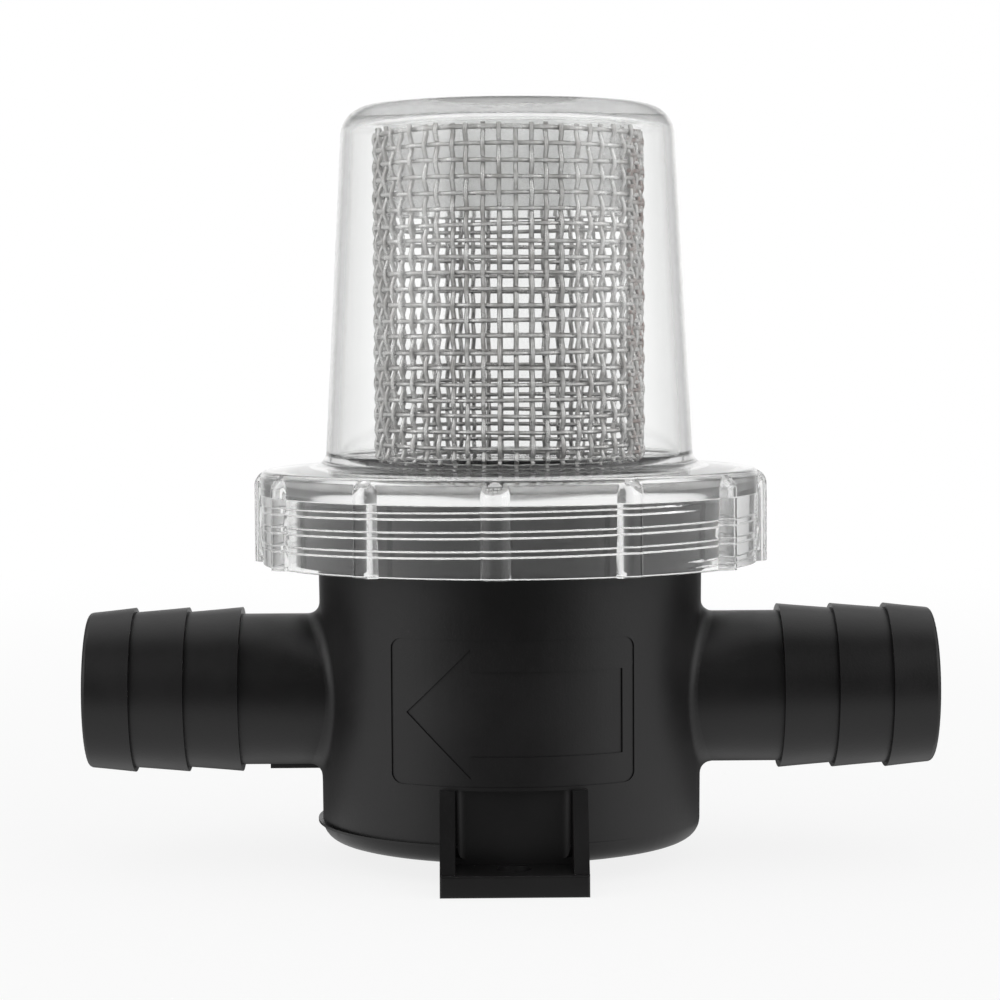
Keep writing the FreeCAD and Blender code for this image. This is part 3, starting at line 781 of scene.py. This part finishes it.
class BuildScreen(bpy.types.Operator):
    """Weave the wire screen and its overlapped seam"""

    bl_idname = "strainer.screen"
    bl_label = "Screen"

    def execute(self, context):
        sizes = context.scene.strainer_screen
        colours = context.scene.strainer_colours
        plain = drawn_steel(colours, "drawn_steel", 0.12)
        tinted = drawn_steel(colours, "drawn_steel_tinted", 0.8)
        pieces = [upright_wires(sizes), level_wires(sizes), seam_wires(sizes)]
        for piece, material in zip(pieces, (plain, plain, tinted)):
            wear(piece, material)
            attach(piece, "base")
            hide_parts("screen")
        return {"FINISHED"}


class BuildSeal(bpy.types.Operator):
    """Finish the seal ring"""

    bl_idname = "strainer.seal"
    bl_label = "Seal ring"

    def execute(self, context):
        wear(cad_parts["seal_ring"], seal_rubber(context.scene.strainer_colours))
        return {"FINISHED"}


class BuildStage(bpy.types.Operator):
    """Lay the floor, hang the lamps and set up the camera"""

    bl_idname = "strainer.stage"
    bl_label = "Stage"

    def execute(self, context):
        pale_floor(context.scene.strainer_colours)
        soft_sky(context.scene)
        soft_lamp("lamp_left", -1)
        soft_lamp("lamp_right", 1)
        stand_camera(context.scene)
        context.scene.view_settings.view_transform = "Standard"
        return {"FINISHED"}


def pale_floor(colours):
    """A wide level floor under the feet, white where it is seen, that keeps the object's shadow."""
    reach = np.array([-FLOOR_REACH, FLOOR_REACH])
    x, y = np.meshgrid(reach, reach, indexing="ij")
    points = np.stack([x, y, np.full_like(x, FLOOR_Z)], axis=-1).reshape(-1, 3)
    floor = new_mesh("floor", points, np.array([[0, 2, 3, 1]]))
    material, recipe = named_material("pale_floor")
    x, y, _ = recipe.axes(recipe.place())
    away = (x * x + y * y).root()
    back = y / (away + 0.015)
    matt = recipe.node("ShaderNodeBsdfDiffuse", None, {"Color": colours.floor})
    level = white_where_seen(recipe, 0.05 + room_around(back) * 0.8, 0.0)
    bright = recipe.node("ShaderNodeEmission", None, {"Color": WHITE, "Strength": level})
    seen, gloss, clear = recipe.looking_rays()
    share = gloss + (seen + clear) * (0.84 + away.ramp(0.12, 0.6) * 0.16)
    recipe.finish("ShaderNodeMixShader", {0: share, 1: matt, 2: bright})
    wear(floor, material)


def soft_sky(scene):
    """White all round where it is seen, and a room with a dim front and bright sides in gloss."""
    world = bpy.data.worlds.new("soft_sky")
    scene.world = world
    recipe = Recipe(world)
    _, back, up = recipe.axes(recipe.node("ShaderNodeTexCoord", output="Generated"))
    light = white_where_seen(recipe, room_level(back, up), 0.35 + up.ramp(-0.2, 0.8) * 0.4)
    sky = recipe.node("ShaderNodeBackground", None, {"Color": WHITE, "Strength": light})
    recipe.node("ShaderNodeOutputWorld", None, {"Surface": sky})


def soft_lamp(name, side):
    """A square soft lamp on the left (-1) or right (1) that looks at the middle of the object."""
    place = Vector((side * LAMP_PLACE[0], *LAMP_PLACE[1:]))
    data = bpy.data.lights.new(name, "AREA")
    data.size = LAMP_SIZE
    data.energy = LAMP_POWER
    lamp = bpy.data.objects.new(name, data)
    lamp.location = place
    middle = (CAD_BOX[0] + CAD_BOX[1]) / 2
    lamp.rotation_euler = (middle - place).to_track_quat("-Z", "Y").to_euler()
    bpy.context.scene.collection.objects.link(lamp)


def stand_camera(scene):
    """The camera in front of the object, a little to the left and looking slightly down."""
    stage = scene.strainer_stage
    data = bpy.data.cameras.new("camera")
    data.lens = stage.lens
    camera = bpy.data.objects.new("camera", data)
    scene.collection.objects.link(camera)
    place = Vector((-math.sin(stage.turn) * stage.distance,
                    -math.cos(stage.turn) * stage.distance, stage.height))
    heading = stage.turn - stage.aim
    level = Vector((math.sin(heading), math.cos(heading), 0.0))
    ahead = level * math.cos(stage.pitch) - Vector((0, 0, math.sin(stage.pitch)))
    right = Vector((math.cos(heading), -math.sin(heading), 0.0))
    up = right.cross(ahead)
    leaning_right = right * math.cos(stage.roll) - up * math.sin(stage.roll)
    leaning_up = up * math.cos(stage.roll) + right * math.sin(stage.roll)
    turn = Matrix((leaning_right, leaning_up, -ahead)).transposed()
    camera.matrix_world = Matrix.Translation(place) @ turn.to_4x4()
    scene.camera = camera


class StrainerPanel(bpy.types.Panel):
    """Lists the pieces of the strainer"""

    bl_idname = "VIEW3D_PT_strainer"
    bl_label = "Strainer"
    bl_space_type = "VIEW_3D"
    bl_region_type = "UI"
    bl_category = "Strainer"

    def draw(self, context):
        for step in STEPS:
            self.layout.operator(step.bl_idname)


GROUPS = {
    "strainer_bowl": StrainerBowl,
    "strainer_screen": StrainerScreen,
    "strainer_colours": StrainerColours,
    "strainer_stage": StrainerStage,
}
STEPS = (BuildHousing, BuildBowl, BuildScreen, BuildSeal, BuildStage)


def register():
    for kind in (*GROUPS.values(), *STEPS, StrainerPanel):
        bpy.utils.register_class(kind)
    for name, group in GROUPS.items():
        setattr(bpy.types.Scene, name, PointerProperty(type=group))


def unregister():
    for name in GROUPS:
        delattr(bpy.types.Scene, name)
    for kind in (StrainerPanel, *reversed(STEPS), *GROUPS.values()):
        bpy.utils.unregister_class(kind)


def main():
    """Registers the classes and builds every piece in order."""
    register()
    for step in STEPS:
        group, name = step.bl_idname.split(".")
        getattr(getattr(bpy.ops, group), name)()


if __name__ == "__main__":
    main()
